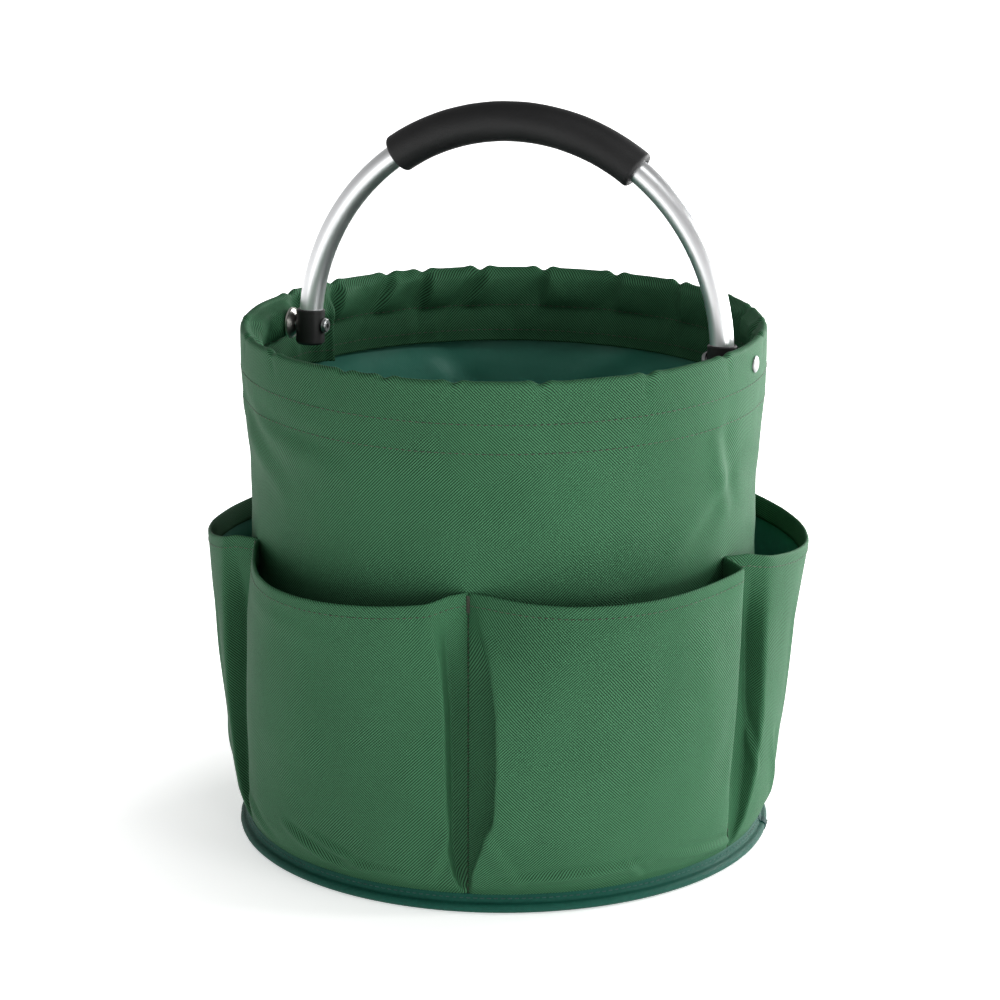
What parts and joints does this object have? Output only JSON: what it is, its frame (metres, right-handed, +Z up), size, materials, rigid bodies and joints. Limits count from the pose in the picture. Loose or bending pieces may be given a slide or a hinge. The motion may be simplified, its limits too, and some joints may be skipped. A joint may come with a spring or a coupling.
{
  "type": "garden tool bag",
  "caption": "Round upright garden tool bag in coated twill with a ring of outside pockets, a piped base and a swinging tubular bail handle with a foam grip.",
  "frame": {"origin": "centre of the base's underside, on the floor the bag stands on", "axes": "+Z up through the mouth, +X along the handle's pivot axis towards its right-hand rivet, -Y towards the front pockets"},
  "size_m": [0.3759, 0.3767, 0.4667],
  "materials": {
    "twill": "coated twill, matt",
    "thread": "matt",
    "band_steel": "galvanised",
    "base_cloth": "coated, smooth",
    "board": "matt",
    "lining": "coated, smooth",
    "cord": "twisted",
    "binding": "satin tape",
    "binding_lap": "satin tape",
    "rivet_metal": "satin",
    "washer_metal": "zinc plated",
    "nylon": "matt",
    "tube_metal": "satin anodised",
    "foam": "closed-cell foam, matt",
    "ferrule_plastic": "matt"
  },
  "bodies": {
    "bag": {"bag_wall": "twill", "rim_hoop": "band_steel", "hoop_clip": "band_steel", "base_panel": "base_cloth", "base_board": "board", "base_lining": "lining", "piping_cord": "cord", "base_binding": "binding", "binding_joint": "binding_lap", "pocket_front_left": "twill", "pocket_front_right": "twill", "pocket_right": "twill", "pocket_back": "twill", "pocket_left": "twill", "pocket_bartacks": "thread", "rivet_right": "rivet_metal", "rivet_left": "rivet_metal", "cup_washer_right": "washer_metal", "cup_washer_left": "washer_metal", "spacer_right": "nylon", "spacer_left": "nylon", "rivet_washer_right": "rivet_metal", "rivet_washer_left": "rivet_metal"},
    "handle": {"handle_tube": "tube_metal", "foam_grip": "foam", "ferrule_right": "ferrule_plastic", "ferrule_left": "ferrule_plastic"}
  },
  "joints": [
    {"name": "handle_swing", "type": "hinge", "parent": "bag", "child": "handle", "pos_m": [0, 0, 0.316], "axis": [1, 0, 0], "range_deg": [-86, 94]}
  ]
}
